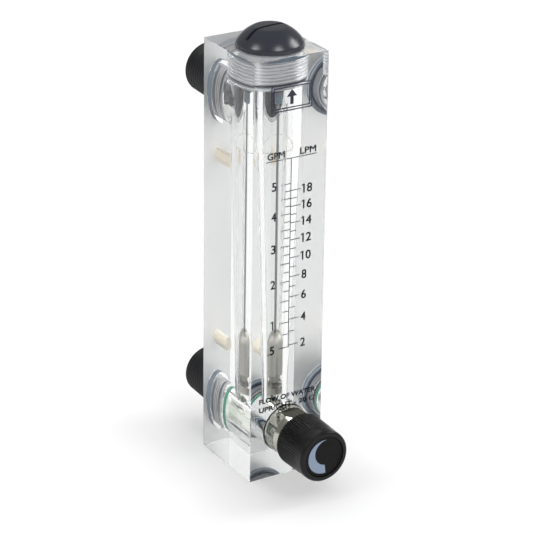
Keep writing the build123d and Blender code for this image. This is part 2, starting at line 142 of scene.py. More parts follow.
class Finish:
    """A material with one Principled shader. Plain numbers are set on the shader's own sockets."""

    def __init__(self, name, **plain):
        self.material = bpy.data.materials.new(name)
        self.material.use_nodes = True
        self.tree = self.material.node_tree
        self.shader = self.tree.nodes["Principled BSDF"]
        for words, value in plain.items():
            socket = self.shader.inputs[words.replace("_", " ").title().replace("Ior", "IOR")]
            socket.default_value = (*value, 1) if isinstance(value, tuple) else value

    def node(self, kind, settings, values, output=0):
        """Adds a node: its settings first, then the values or links of its sockets."""
        made = self.tree.nodes.new(kind)
        for word, setting in settings.items():
            setattr(made, word, setting)
        for place, value in values.items():
            if isinstance(value, Wire):
                self.tree.links.new(value.socket, made.inputs[place])
            else:
                made.inputs[place].default_value = value
        return Wire(self, made.outputs[output])

    def maths(self, operation, *values):
        """Adds a Math node on these values or links."""
        return self.node("ShaderNodeMath", {"operation": operation}, dict(enumerate(values)))

    def place(self, stretch=(1, 1, 1), centre=(0, 0, 0)):
        """Object coordinates in metres, from a centre, each axis times its own number."""
        spot = self.node("ShaderNodeTexCoord", {}, {}, "Object")
        moved = self.node(
            "ShaderNodeVectorMath",
            {"operation": "SUBTRACT"},
            {0: spot, 1: [MM * value for value in centre]},
        )
        return self.node("ShaderNodeVectorMath", {"operation": "MULTIPLY"}, {0: moved, 1: stretch})

    def along(self, axis):
        """Place along one axis in metres."""
        return self.node("ShaderNodeSeparateXYZ", {}, {0: self.place()}, axis)

    def noise(self, scale, detail=2.0, stretch=(1, 1, 1), centre=(0, 0, 0)):
        """Soft noise from 0 to 1, with about this many spots to a metre along each axis."""
        values = {"Vector": self.place(stretch, centre), "Scale": scale, "Detail": detail}
        return self.node("ShaderNodeTexNoise", {}, values, "Fac")

    def blend(self, share, first, second):
        """First colour where share is 0, second where it is 1."""
        settings = {"data_type": "RGBA"}
        values = {0: share, 6: (*first, 1), 7: (*second, 1)}
        return self.node("ShaderNodeMix", settings, values, 2)

    def feed(self, name, wire):
        """Links a value to a socket of the shader."""
        self.tree.links.new(wire.socket, self.shader.inputs[name])

    def bump(self, height, distance):
        """Raises the surface by up to this many millimetres where height is 1."""
        values = {"Height": height, "Distance": distance * MM, "Strength": 1.0}
        self.feed("Normal", self.node("ShaderNodeBump", {}, values))

    def let_lamps_through(self, share):
        """Lamp light passes this glass, so what lies behind it isn't left in full shadow."""
        clear = self.tree.nodes.new("ShaderNodeBsdfTransparent")
        clear.inputs["Color"].default_value = (share, share, share, 1)
        choose = self.tree.nodes.new("ShaderNodeMixShader")
        path = self.tree.nodes.new("ShaderNodeLightPath")
        self.tree.links.new(path.outputs["Is Shadow Ray"], choose.inputs[0])
        self.tree.links.new(self.shader.outputs[0], choose.inputs[1])
        self.tree.links.new(clear.outputs[0], choose.inputs[2])
        self.tree.links.new(choose.outputs[0], self.tree.nodes["Material Output"].inputs[0])


def plain(*points):
    """Rows of a turned surface from (radius, distance) points: each row is the same all round."""
    radius, distance = np.array(points, float).T
    return np.array((radius[:, None] + 0 * angle, distance[:, None] + 0 * angle))


def threaded(start, end, outer, depth, pitch, taper=0.0):
    """Rows along a right-handed screw thread. Each row climbs one pitch a turn, so the rows lie
    along the crests and roots, and the thread runs out to the outer radius at its two ends. A taper
    takes that share of the distance off the radius."""
    phase = np.array((THREAD_FLAT, 0.5 - THREAD_FLAT, 0.5 + THREAD_FLAT, 1 - THREAD_FLAT))
    low = 0 < (phase - 0.25) * (0.75 - phase)
    turns = np.arange(math.floor(start / pitch) - 1, math.ceil(end / pitch) + 1)
    row = (turns[:, None] + phase).ravel()
    distance = pitch * (row[:, None] + angle / (2 * math.pi))
    fade = np.clip(np.minimum(distance - start, end - distance) / (0.5 * pitch), 0, 1)
    distance = np.clip(distance, start, end)
    radius = outer - taper * (distance - start) - depth * np.tile(low, len(turns))[:, None] * fade
    return np.array((radius, distance))


def mesh_of(name, points, faces):
    """A mesh from vertices in millimetres: doubles merged, faces outwards and sharp edges kept."""
    mesh = bpy.data.meshes.new(name)
    mesh.from_pydata((points * MM).tolist(), [], faces.tolist())
    work = bmesh.new()
    work.from_mesh(mesh)
    bmesh.ops.remove_doubles(work, verts=work.verts, dist=MERGE)
    bmesh.ops.dissolve_degenerate(work, edges=work.edges, dist=MERGE)
    bmesh.ops.recalc_face_normals(work, faces=work.faces)
    work.to_mesh(mesh)
    work.free()
    mesh.shade_smooth()
    mesh.set_sharp_from_angle(angle=SHARP)
    return mesh


def grid_faces(rows, columns):
    """Four-cornered faces of a grid whose vertices are numbered row by row."""
    first = np.arange(rows - 1)[:, None] * columns + np.arange(columns - 1)
    return np.stack((first, first + 1, first + columns + 1, first + columns), -1).reshape(-1, 4)


def turned(name, origin, along, *parts):
    """A turned piece: rows of (radius, distance) carried round an axis. Each point is the origin,
    plus distance along the axis, plus radius times cosine and sine of the angle across it."""
    radius, distance = np.concatenate(parts, axis=1)
    along = np.array(along, float)
    across = np.array((1.0, 0, 0))
    other = np.cross(along, across)
    points = (
        np.array(origin, float)
        + distance[..., None] * along
        + (radius * np.cos(angle))[..., None] * across
        + (radius * np.sin(angle))[..., None] * other
    )
    return mesh_of(name, points.reshape(-1, 3), grid_faces(*radius.shape))


def shown(name, mesh, *finishes):
    """The object that carries a mesh, at the origin, with its materials."""
    piece = bpy.data.objects.new(name, mesh)
    bpy.context.scene.collection.objects.link(piece)
    for finish in finishes:
        mesh.materials.append(finish.material)
    return piece


def finish_between(mesh, number, axis, start, end):
    """Gives a mesh's faces the material of this number where their middles lie between two places
    along an axis, and the first material elsewhere."""
    middles = np.empty(len(mesh.polygons) * 3)
    mesh.polygons.foreach_get("center", middles)
    place = middles.reshape(-1, 3)[:, axis] / MM
    chosen = np.where((start < place) & (place < end), number, 0)
    mesh.polygons.foreach_set("material_index", chosen.astype(np.int32))


def cut(piece, *cutters):
    """Takes the cutters' shapes out of a piece. The cut faces keep the cutters' materials."""
    for cutter in cutters:
        step = piece.modifiers.new("cut", "BOOLEAN")
        step.operation = "DIFFERENCE"
        step.solver = "EXACT"
        step.material_mode = "TRANSFER"
        step.object = cutter
    graph = bpy.context.evaluated_depsgraph_get()
    mesh = bpy.data.meshes.new_from_object(piece.evaluated_get(graph))
    piece.modifiers.clear()
    piece.data = mesh
    mesh.name = piece.name
    mesh.shade_smooth()
    mesh.set_sharp_from_angle(angle=SHARP)
    for cutter in cutters:
        bpy.data.objects.remove(cutter)


block_low, block_high = (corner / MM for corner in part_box("block"))
FRONT_Y, BACK_Y, TOP = block_low.y, block_high.y, block_high.z
UPWARD = (0, 0, 1)
BACKWARD = (0, 1, 0)
FORWARD = (0, -1, 0)
BORE_FOOT = (0, BORE_Y, 0)
VALVE_FOOT = (0, FRONT_Y, PORT_HEIGHTS[0])


def acrylic_finish(name, lamp_share, **plain_values):
    """A finish of the block. Light of the lamps passes it in this share."""
    finish = Finish(name, ior=ACRYLIC_INDEX, **plain_values)
    finish.let_lamps_through(lamp_share)
    return finish


def root_share(finish, first, second, outer, depth):
    """How far out in a thread a spot lies, from two places across its axis: 0 at the crest and 1 at
    the root, squared. It places the shade painted into the roots of the threads."""
    radius = finish.maths("SQRT", first * first + second * second)
    share = (radius / MM - (outer - depth)) / depth
    return share * share


acrylic = acrylic_finish(
    "polished_acrylic", 0.86, base_color=(0.92, 0.93, 0.925), roughness=0.0, transmission_weight=1.0
)
milled = acrylic_finish(
    "milled_acrylic", 0.86, base_color=(0.95, 0.955, 0.96), roughness=0.1, transmission_weight=0.76
)
satin = acrylic_finish(
    "satin_acrylic", 0.86, base_color=(0.87, 0.88, 0.88), roughness=0.7, transmission_weight=0.6
)
satin.bump(satin.noise(2400, 3), 0.02)
bored = acrylic_finish(
    "machined_acrylic",
    0.93,
    base_color=(0.97, 0.98, 0.975),
    roughness=0.03,
    transmission_weight=1.0,
)
bored.bump(bored.noise(900, 2, (1, 1, 0.02)), 0.005)
# Painted reflection: the drilled holes are painted warm for the brass that shows through them.
drilled = acrylic_finish(
    "drilled_acrylic", 0.9, base_color=(0.99, 0.90, 0.73), roughness=0.4, transmission_weight=0.25
)

# Painted shade: the mouth thread's roots are painted dark blue-grey and its crests pale, for shade
# and light in the thread.
tapped = acrylic_finish("tapped_acrylic", 0.9, roughness=0.15, transmission_weight=0.55)
inward = tapped.along("Y") - BORE_Y * MM
root = root_share(tapped, tapped.along("X"), inward, PLUG_THREAD, PLUG_THREAD_DEPTH)
tapped.feed("Base Color", tapped.blend(root, (0.97, 0.98, 0.985), (0.40, 0.45, 0.53)))

# Painted shade: the port threads' roots are painted near black and their crests white, for shade
# and light in the thread.
port_tapped = acrylic_finish("tapped_port", 0.9, roughness=0.12, transmission_weight=0.4)
port_step = (PORT_HEIGHTS[1] - PORT_HEIGHTS[0]) * MM
rise = port_tapped.along("Z")
upper = port_tapped.maths("GREATER_THAN", rise, TOP / 2 * MM)
rise = rise - (PORT_HEIGHTS[0] * MM + port_step * upper)
root = root_share(port_tapped, port_tapped.along("X"), rise, PORT_THREAD, PORT_THREAD_DEPTH)
port_tapped.feed("Base Color", port_tapped.blend(root, (1.0, 1.0, 1.0), (0.10, 0.13, 0.19)))

block_finishes = (acrylic, milled, satin)
POLISHED, MILLED, SATIN = range(3)
cutter_finishes = (bored, tapped, port_tapped, drilled)
TAPPED, PORT_TAPPED, DRILLED = 1, 2, 3
Y_AXIS, Z_AXIS = 1, 2

outside = bmesh.new()
bmesh.ops.create_cube(outside, size=1)
size = (block_high - block_low) * MM
bmesh.ops.scale(outside, vec=size, verts=outside.verts)
bmesh.ops.translate(outside, vec=(block_high + block_low) * MM / 2, verts=outside.verts)
bmesh.ops.bevel(outside, geom=outside.edges, offset=EDGE_BREAK * MM, segments=1, affect="EDGES")
outside.normal_update()
for side in outside.faces:
    is_back, is_top = side.normal.y > 0.9, side.normal.z > 0.9
    side.material_index = SATIN if is_back else MILLED if is_top else POLISHED
mesh = bpy.data.meshes.new("block_glass")
outside.to_mesh(mesh)
outside.free()
block = shown("block_glass", mesh, *block_finishes)

bore = turned(
    "metering_bore",
    BORE_FOOT,
    UPWARD,
    plain((0, BORE_FLOOR), (BORE_NARROW, BORE_FLOOR), (BORE_NARROW, TAPER_START)),
    plain((BORE_WIDE, TAPER_END), (CHAMBER_RADIUS, TAPER_END), (CHAMBER_RADIUS, MOUTH_START)),
    plain((MOUTH_RADIUS, MOUTH_START)),
    threaded(MOUTH_START, MOUTH_END, PLUG_THREAD, PLUG_THREAD_DEPTH, PLUG_PITCH),
    plain((MOUTH_RADIUS, MOUTH_END), (PLUG_SEAT, MOUTH_END)),
    plain((PLUG_SEAT, TOP + CUT_CLEAR), (0, TOP + CUT_CLEAR)),
)
finish_between(bore, TAPPED, Z_AXIS, MOUTH_START, MOUTH_END)
valve_bore = turned(
    "valve_bore",
    VALVE_FOOT,
    FORWARD,
    plain((0, VALVE_FLOOR), (VALVE_RADIUS, VALVE_FLOOR), (VALVE_RADIUS, VALVE_STEP)),
    plain((VALVE_MOUTH, VALVE_STEP), (VALVE_MOUTH, CUT_CLEAR), (0, CUT_CLEAR)),
)
cutters = [bore, valve_bore]
for height, passage_end in zip(PORT_HEIGHTS, PASSAGE_ENDS):
    port = turned(
        "port",
        (0, 0, height),
        BACKWARD,
        plain((0, passage_end), (PORT_RADIUS, passage_end), (PORT_RADIUS, PORT_START)),
        plain((PORT_THREAD, PORT_START)),
        threaded(PORT_START, PORT_END, PORT_THREAD, PORT_THREAD_DEPTH, PORT_PITCH),
        plain((PORT_THREAD, PORT_END), (FLANGE_SEAT, PORT_END)),
        plain((FLANGE_SEAT, BACK_Y + CUT_CLEAR), (0, BACK_Y + CUT_CLEAR)),
    )
    finish_between(port, PORT_TAPPED, Y_AXIS, PORT_START, PORT_END)
    cutters.append(port)
for height in INSERT_HEIGHTS:
    hole = turned(
        "insert_hole",
        (0, 0, height),
        BACKWARD,
        plain((0, INSERT_FLOOR), (INSERT_RADIUS, INSERT_FLOOR)),
        plain((INSERT_RADIUS, BACK_Y + CUT_CLEAR), (0, BACK_Y + CUT_CLEAR)),
    )
    finish_between(hole, DRILLED, Y_AXIS, INSERT_FLOOR - CUT_CLEAR, BACK_Y)
    cutters.append(hole)
cut(block, *(shown("cutter", mesh, *cutter_finishes) for mesh in cutters))
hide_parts("block")
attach(block, "housing")

# Top plug. Moulded in slate-grey nylon: a domed head with a screwdriver slot, a neck for its O-ring
# and a thread that screws it into the mouth of the chamber. A boss under it holds the guide rod.
PLUG_COLOUR = (0.024, 0.028, 0.037)
HEAD_SLOT_WIDTH = 1.4
HEAD_SLOT_FLOOR = 4.2
HEAD_SLOT_TURN = math.radians(7)
HEAD_SLOT_BOX = (30, HEAD_SLOT_WIDTH, 10)
THREAD_GAP = 0.12
ROD_SOCKET, ROD_SOCKET_TOP = 0.83, 161.6
BOSS_RADIUS, BOSS_FOOT = 4, 153.6
HOLLOW_INNER, HOLLOW_OUTER, HOLLOW_TOP = 5.6, 9.4, 164.6
PLUG_FOOT, PLUG_THREAD_TOP = 158.6, 167.5
PLUG_NECK = 10.4
HEAD_FOOT, HEAD_RIM_START, HEAD_RIM_END = TOP + 0.02, TOP + 0.3, TOP + 1.5
HEAD_RADIUS, HEAD_FOOT_RADIUS = 12.8, 12.5
DOME_START, DOME_END, DOME_BULGE = (12.65, TOP + 1.95), (6.8, TOP + 7.25), 0.55
CROWN_START, CROWN_END, CROWN_BULGE = (6.2, TOP + 7.55), (0, TOP + 7.8), 0.05
DOME_STEPS, CROWN_STEPS = 24, 12


def arc(start, end, bulge, count):
    """Rows along a round arc between two points, off the chord by bulge in its middle: the arc's
    reach is sqrt(radius^2 - place^2), less what the chord lies off the centre."""
    start, end = np.array(start, float), np.array(end, float)
    chord = end - start
    side = np.array((chord[1], -chord[0]))
    share = np.linspace(0, 1, count + 1)
    half = np.linalg.norm(chord) / 2
    radius = (half * half + bulge * bulge) / (2 * abs(bulge))
    reach = np.sqrt(radius**2 - (half * (2 * share - 1)) ** 2) - (radius - abs(bulge))
    points = start + share[:, None] * chord + reach[:, None] * side / (2 * half) * np.sign(bulge)
    return plain(*points)


nylon = Finish("slate_nylon", roughness=0.2, specular_ior_level=0.5)
grain = nylon.noise(5200, 3)
nylon.feed("Base Color", nylon.blend(nylon.noise(160, 3), PLUG_COLOUR, (0.032, 0.037, 0.048)))
nylon.feed("Roughness", 0.17 + 0.08 * grain)
nylon.bump(grain, 0.02)

plug = shown(
    "plug_moulding",
    turned(
        "plug_moulding",
        BORE_FOOT,
        UPWARD,
        plain((ROD_SOCKET, ROD_SOCKET_TOP), (ROD_SOCKET, BOSS_FOOT), (BOSS_RADIUS, BOSS_FOOT)),
        plain((BOSS_RADIUS, PLUG_FOOT), (HOLLOW_INNER, PLUG_FOOT), (HOLLOW_INNER, HOLLOW_TOP)),
        plain((HOLLOW_OUTER, HOLLOW_TOP), (HOLLOW_OUTER, PLUG_FOOT)),
        plain((PLUG_THREAD - THREAD_GAP, PLUG_FOOT)),
        threaded(
            PLUG_FOOT, PLUG_THREAD_TOP, PLUG_THREAD - THREAD_GAP, PLUG_THREAD_DEPTH, PLUG_PITCH
        ),
        plain((PLUG_THREAD - THREAD_GAP, PLUG_THREAD_TOP), (PLUG_NECK, PLUG_THREAD_TOP)),
        plain((PLUG_NECK, HEAD_FOOT), (HEAD_FOOT_RADIUS, HEAD_FOOT)),
        plain((HEAD_RADIUS, HEAD_RIM_START), (HEAD_RADIUS, HEAD_RIM_END)),
        arc(DOME_START, DOME_END, DOME_BULGE, DOME_STEPS),
        arc(CROWN_START, CROWN_END, CROWN_BULGE, CROWN_STEPS),
        plain((0, ROD_SOCKET_TOP), (ROD_SOCKET, ROD_SOCKET_TOP)),
    ),
    nylon,
)
slot_box = bmesh.new()
bmesh.ops.create_cube(slot_box, size=1)
bmesh.ops.scale(slot_box, vec=Vector(HEAD_SLOT_BOX) * MM, verts=slot_box.verts)
bmesh.ops.rotate(slot_box, matrix=Matrix.Rotation(HEAD_SLOT_TURN, 3, "Z"), verts=slot_box.verts)
slot_middle = Vector((0, BORE_Y, TOP + HEAD_SLOT_FLOOR + HEAD_SLOT_BOX[2] / 2)) * MM
bmesh.ops.translate(slot_box, vec=slot_middle, verts=slot_box.verts)
mesh = bpy.data.meshes.new("slot")
slot_box.to_mesh(mesh)
slot_box.free()
cut(plug, shown("slot", mesh, nylon))
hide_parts("top_plug")
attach(plug, "housing")

# Plug seal. A black O-ring squeezed between the plug's neck and the rim of the chamber. It is wet
# against the acrylic, and the blue-grey band it shows through the sides is painted into its colour.
PAINTED_RUBBER_SHEEN = (0.075, 0.115, 0.165)
SEAL_BITE = 0.1
PLUG_RING_RADII = (10.42, PLUG_SEAT + SEAL_BITE)
PLUG_RING_ENDS = (167.65, 169.9)
RING_STEPS = 32
RING_POWER = 4


def squeezed_ring(name, origin, along, radii, ends, finish):
    """An O-ring whose section is squeezed flat: a superellipse of the fourth power between two
    radii and two distances."""
    (inner, outer), (start, end) = radii, ends
    section = np.linspace(0, 2 * math.pi, RING_STEPS + 1)
    bend = 2 / RING_POWER
    sideways = np.sign(np.cos(section)) * np.abs(np.cos(section)) ** bend
    lengthwise = np.sign(np.sin(section)) * np.abs(np.sin(section)) ** bend
    radius = (inner + outer) / 2 + (outer - inner) / 2 * sideways
    distance = (start + end) / 2 + (end - start) / 2 * lengthwise
    return shown(name, turned(name, origin, along, plain(*zip(radius, distance))), finish)


# Painted sheen: the black rubber is painted blue-grey, as it shows through the acrylic.
slate = Finish("slate_rubber", roughness=0.45)
slate.feed("Base Color", slate.blend(slate.noise(400, 3), PAINTED_RUBBER_SHEEN, (0.10, 0.145, 0.20)))
plug_ring = squeezed_ring("plug_ring", BORE_FOOT, UPWARD, PLUG_RING_RADII, PLUG_RING_ENDS, slate)
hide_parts("plug_seal")
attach(plug_ring, "housing")

# Pipe connections. Black moulded adapters, threaded at both ends, with a flange that sits in a
# counterbore of the block on an O-ring. The pipe screws on the outer thread.
black = Finish("black_moulding", roughness=0.4, specular_ior_level=0.25)
grain = black.noise(4200, 3)
shade = black.blend(black.noise(180, 3), (0.013, 0.013, 0.015), (0.024, 0.024, 0.026))
black.feed("Base Color", shade)
black.feed("Roughness", 0.34 + 0.14 * grain)
black.bump(grain, 0.02)

PIPE_THREAD = 10.75
PIPE_PITCH = 1.814
PIPE_THREAD_DEPTH = 1.0
PIPE_TAPER = 1 / 32
PIPE_START, PIPE_END = 18.4, 42.4
STUB_BORE = 6.5
STUB_FOOT, STUB_THREAD_END = 9.8, 14.5
FLANGE_RADIUS, FLANGE_START, FLANGE_END = 12.3, 16.2, 18
STUB_THREAD = PORT_THREAD - THREAD_GAP
STUB_FACE, STUB_NECK = 9.3, 10.6
TIP_SHOULDER, TIP_RADIUS, TIP_MOUTH = 10.0, 9.0, 6.9
TIP_END, TIP_BORE_END = PIPE_END + 1, PIPE_END + 0.6
FLANGE_RING_RADII = (10.8, FLANGE_SEAT + SEAL_BITE)
FLANGE_RING_ENDS = (14.62, 17.9)

for end, height in zip(("lower", "upper"), PORT_HEIGHTS):
    foot = (0, 0, height)
    stub = turned(
        f"{end}_threaded_stub",
        foot,
        BACKWARD,
        plain((STUB_BORE, STUB_FOOT), (STUB_FACE, STUB_FOOT), (STUB_THREAD, STUB_FOOT)),
        threaded(STUB_FOOT, STUB_THREAD_END, STUB_THREAD, PORT_THREAD_DEPTH, PORT_PITCH),
        plain((STUB_THREAD, STUB_THREAD_END), (STUB_NECK, FLANGE_START)),
        plain((FLANGE_RADIUS, FLANGE_START), (FLANGE_RADIUS, FLANGE_END)),
        plain((PIPE_THREAD, FLANGE_END)),
        threaded(PIPE_START, PIPE_END, PIPE_THREAD, PIPE_THREAD_DEPTH, PIPE_PITCH, PIPE_TAPER),
        plain((TIP_SHOULDER, PIPE_END), (TIP_RADIUS, TIP_END), (TIP_MOUTH, TIP_END)),
        plain((STUB_BORE, TIP_BORE_END), (STUB_BORE, STUB_FOOT)),
    )
    stub = shown(stub.name, stub, black)
    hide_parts(f"{end}_adapter")
    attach(stub, "housing")
    name = f"{end}_flange_ring"
    ring = squeezed_ring(name, foot, BACKWARD, FLANGE_RING_RADII, FLANGE_RING_ENDS, slate)
    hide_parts(f"{end}_adapter_seal")
    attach(ring, "housing")

# Valve seals. A green O-ring lies in the groove at the cartridge's inner end and a black one under
# its collar, both squeezed against the acrylic, so they show through it all round. Two small black
# ones inside the cartridge pack the stem.
GREEN_RING_RADII = (8.03, VALVE_RADIUS + SEAL_BITE)
GREEN_RING_ENDS = (-25.0, -22.5)
COLLAR_RING_RADII = (8.65, 9.85)
COLLAR_RING_ENDS = (-1.65, -0.35)

green = Finish("green_rubber", roughness=0.4)
shade = green.blend(green.noise(500, 3), (0.002, 0.25, 0.150), (0.004, 0.30, 0.185))
green.feed("Base Color", shade)
green_ring = squeezed_ring(
    "green_ring", VALVE_FOOT, FORWARD, GREEN_RING_RADII, GREEN_RING_ENDS, green
)
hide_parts("valve_seal")
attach(green_ring, "housing")

rubber = Finish("black_rubber", roughness=0.5)
shade = rubber.blend(rubber.noise(600, 3), (0.012, 0.012, 0.014), (0.022, 0.022, 0.025))
rubber.feed("Base Color", shade)
collar_ring = squeezed_ring(
    "collar_ring", VALVE_FOOT, FORWARD, COLLAR_RING_RADII, COLLAR_RING_ENDS, rubber
)
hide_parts("collar_seal")
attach(collar_ring, "housing")


def dress(finish, *names):
    """Gives CAD nodes a finish. Their shape stays as it is."""
    for name in names:
        nodes[name].data.materials.clear()
        nodes[name].data.materials.append(finish.material)


dress(rubber, "stem_seal_1", "stem_seal_2")

# Float stop. A short rubber sleeve on the guide rod, pushed up against the boss of the plug. The
# float meets it at full flow.
dress(slate, "float_bumper")

# Metal parts. The float, the rod and the stem are turned stainless steel, with fine marks round
# or along them. The cartridge and the gland nut are brass, plated with nickel and warm in tone.
# Inside the block they are painted pale, as painted light for their look through the acrylic.
steel = Finish("turned_steel", base_color=(0.37, 0.36, 0.33), metallic=1.0, roughness=0.4)
steel.feed("Roughness", 0.30 + 0.2 * steel.noise(2600, 2, (1, 1, 0.1)))
steel.bump(steel.noise(6000, 2, (0.05, 0.05, 1)), 0.01)
dress(steel, "float", "rod_foot", "valve_stem", "knob_screw", "gland_washer")
drawn = Finish("drawn_steel", metallic=1.0, roughness=0.3)
drawn.feed("Base Color", drawn.blend(drawn.noise(900, 2), (0.16, 0.155, 0.17), (0.22, 0.21, 0.22)))
dress(drawn, "guide_rod")

nickel = Finish("bright_nickel", metallic=1.0, roughness=0.12)
# Painted light: the nickel inside the block, behind the front face, is painted much paler.
inside = nickel.maths("GREATER_THAN", nickel.along("Y"), FRONT_Y * MM)
pale = 0.2 * nickel.noise(240, 3) + 0.8 * inside
nickel.feed("Base Color", nickel.blend(pale, (0.44, 0.43, 0.38), (0.86, 0.90, 0.85)))
nickel.feed("Roughness", 0.08 + 0.12 * nickel.noise(700, 3))
dress(nickel, "valve_body", "gland_nut")

# Screw inserts. Two turned brass sleeves, pressed into the back of the block, with a blind thread
# each for the panel's screws.
brass = Finish("brass", metallic=0.4, roughness=0.45)
brass.feed("Base Color", brass.blend(brass.noise(300, 3), (0.80, 0.71, 0.53), (0.88, 0.81, 0.66)))
dress(brass, "lower_insert", "upper_insert")

# Valve seat. A small ring of white fluoropolymer, pressed into the cartridge. The needle closes
# against it.
fluoro = Finish("white_fluoropolymer", roughness=0.5)
shade = fluoro.blend(fluoro.noise(500, 2), (0.78, 0.78, 0.76), (0.84, 0.84, 0.82))
fluoro.feed("Base Color", shade)
dress(fluoro, "valve_seat")

# Knob. Moulded in black plastic with fine ribs round it and a plain band at the front, where a
# matt disc is pressed in. A blue-grey arc printed on the disc grows the way the valve opens.
moulded = Finish("knob_moulding", roughness=0.4, specular_ior_level=0.2)
grain = moulded.noise(5000, 3)
shade = moulded.blend(moulded.noise(220, 3), (0.006, 0.006, 0.006), (0.011, 0.011, 0.011))
moulded.feed("Base Color", shade)
moulded.feed("Roughness", 0.22 + 0.16 * grain)
moulded.bump(grain, 0.02)
dress(moulded, "knob")

disc = Finish("knob_disc", roughness=0.6, specular_ior_level=0.12)
shade = disc.blend(disc.noise(300, 3), (0.006, 0.006, 0.006), (0.010, 0.010, 0.010))
disc.feed("Base Color", shade)
disc.feed("Roughness", 0.5 + 0.15 * disc.noise(4000, 3))
dress(disc, "knob_cap")

paint = Finish("blue_grey_paint", roughness=0.45)
paint.feed("Base Color", paint.blend(paint.noise(700, 3), (0.20, 0.26, 0.36), (0.24, 0.30, 0.41)))
dress(paint, "knob_mark")

# Scale. Two scales screen printed in dark blue-black ink on the front face: gallons a minute on the
# left and litres a minute on the right of one line. The height of a flow is the taper's power law.
SCALE_ZERO = 37.6
SCALE_GAIN = 27.02
SCALE_POWER = 0.7
LITRES_PER_GALLON = 3.785
INK_THICKNESS = 0.1
INK_SPREAD = 0.13
NOTE_SPREAD = 0.18
NUMBER_HEIGHT = 3.6
UNIT_HEIGHT = 2.6
NOTE_HEIGHT = 2.0
CAPITAL_SHARE = 0.729
LEFT_DIGITS, ONE_DIGIT = (-7.8, -5.8), (-6.9, -6.35)
RIGHT_DIGITS, RIGHT_SHORT_END, RIGHT_LONG_END = 5.9, 8.0, 9.75
UNIT_FOOT = 131.8
GALLONS_ENDS, LITRES_ENDS = (-9.9, -2.45), (4.2, 11.2)
NOTE_LEFT = -12.2
FLUID_RIGHT, FLUID_FOOT = 13.0, 32.6
MOUNTING_RIGHT, MOUNTING_FOOT = 12.6, 29.0
POINT_ENDS, POINT_HEIGHT = (-8.75, -8.2), 0.5
FLAG_REACH, FLAG_ROOT = 0.75, 0.55
FLAG_TIP_TOP, FLAG_TIP_FOOT = 0.6, 1.0
FLAG_INSET = 0.05

ink = Finish("print_ink", roughness=0.5)
ink.feed("Base Color", ink.blend(ink.noise(900, 2), (0.008, 0.008, 0.030), (0.014, 0.014, 0.040)))
dress(ink, "scale_lines")


def scale_height(gallons):
    """Height of a flow on the scale: the zero's height plus gain times a power of the flow."""
    return SCALE_ZERO + SCALE_GAIN * gallons**SCALE_POWER


def printed(words, left, right, bottom, height, spread=INK_SPREAD):
    """One word on the front face between two x places, fitted to that width. It is four thin meshes
    a little apart, because the printed strokes are broader than the typeface's."""
    curve = bpy.data.curves.new("word", "FONT")
    curve.body = words
    curve.size = height / CAPITAL_SHARE
    curve.extrude = INK_THICKNESS / 2
    curve.resolution_u = 6
    source = bpy.data.objects.new("word", curve)
    bpy.context.scene.collection.objects.link(source)
    graph = bpy.context.evaluated_depsgraph_get()
    mesh = bpy.data.meshes.new_from_object(source.evaluated_get(graph))
    bpy.data.objects.remove(source)
    spots = np.empty(len(mesh.vertices) * 3)
    mesh.vertices.foreach_get("co", spots)
    flat = spots.reshape(-1, 3)
    low, high = flat[:, 0].min(), flat[:, 0].max()
    x = left + (flat[:, 0] - low) * (right - spread - left) / (high - low)
    y = FRONT_Y - INK_THICKNESS / 2 - flat[:, 2]
    z = bottom - spread / 2 + flat[:, 1]
    mesh.vertices.foreach_set("co", (np.stack((x, y, z), -1) * MM).ravel())
    copies = [mesh.copy() for at in range(4)]
    for at, copy in enumerate(copies):
        copy.transform(Matrix.Translation(Vector((at % 2, 0, at // 2)) * spread * MM))
    return copies


def stamp(*corners):
    """A flat printed shape on the front face from its (x, z) corners in order, as a thin mesh."""
    count = len(corners)
    points = [(x, y, z) for y in (FRONT_Y, FRONT_Y - INK_THICKNESS) for x, z in corners]
    ends = [tuple(range(count)), tuple(range(2 * count - 1, count - 1, -1))]
    sides = [(at, (at + 1) % count, (at + 1) % count + count, at + count) for at in range(count)]
    mesh = bpy.data.meshes.new("stamp")
    mesh.from_pydata((np.array(points) * MM).tolist(), [], ends + sides)
    return mesh


def bar(left, right, bottom, top):
    """A printed rectangle."""
    return stamp((left, bottom), (right, bottom), (right, top), (left, top))


def joined(name, meshes):
    """One mesh out of many."""
    work = bmesh.new()
    for mesh in meshes:
        work.from_mesh(mesh)
    bmesh.ops.recalc_face_normals(work, faces=work.faces)
    whole = bpy.data.meshes.new(name)
    work.to_mesh(whole)
    work.free()
    return whole


def flag(x, bottom):
    """The flag of a printed 1, which the typeface leaves out."""
    top = bottom + NUMBER_HEIGHT
    tip, root = x - FLAG_REACH, top - FLAG_ROOT
    return stamp((x, top), (x, root), (tip, top - FLAG_TIP_FOOT), (tip, top - FLAG_TIP_TOP))


words = []
for gallons in range(1, 6):
    bottom = scale_height(gallons) - NUMBER_HEIGHT / 2
    first, last = ONE_DIGIT if gallons == 1 else LEFT_DIGITS
    words.extend(printed(str(gallons), first, last, bottom, NUMBER_HEIGHT))
words.append(flag(ONE_DIGIT[0], scale_height(1) - NUMBER_HEIGHT / 2))
bottom = scale_height(0.5) - NUMBER_HEIGHT / 2
words.extend(printed("5", *LEFT_DIGITS, bottom, NUMBER_HEIGHT))
words.append(bar(*POINT_ENDS, bottom, bottom + POINT_HEIGHT))
for litres in range(2, 19, 2):
    bottom = scale_height(litres / LITRES_PER_GALLON) - NUMBER_HEIGHT / 2
    last = RIGHT_SHORT_END if litres < 10 else RIGHT_LONG_END
    words.extend(printed(str(litres), RIGHT_DIGITS, last, bottom, NUMBER_HEIGHT))
    if litres >= 10:
        words.append(flag(RIGHT_DIGITS + FLAG_INSET, bottom))
words.extend(printed("GPM", *GALLONS_ENDS, UNIT_FOOT, UNIT_HEIGHT))
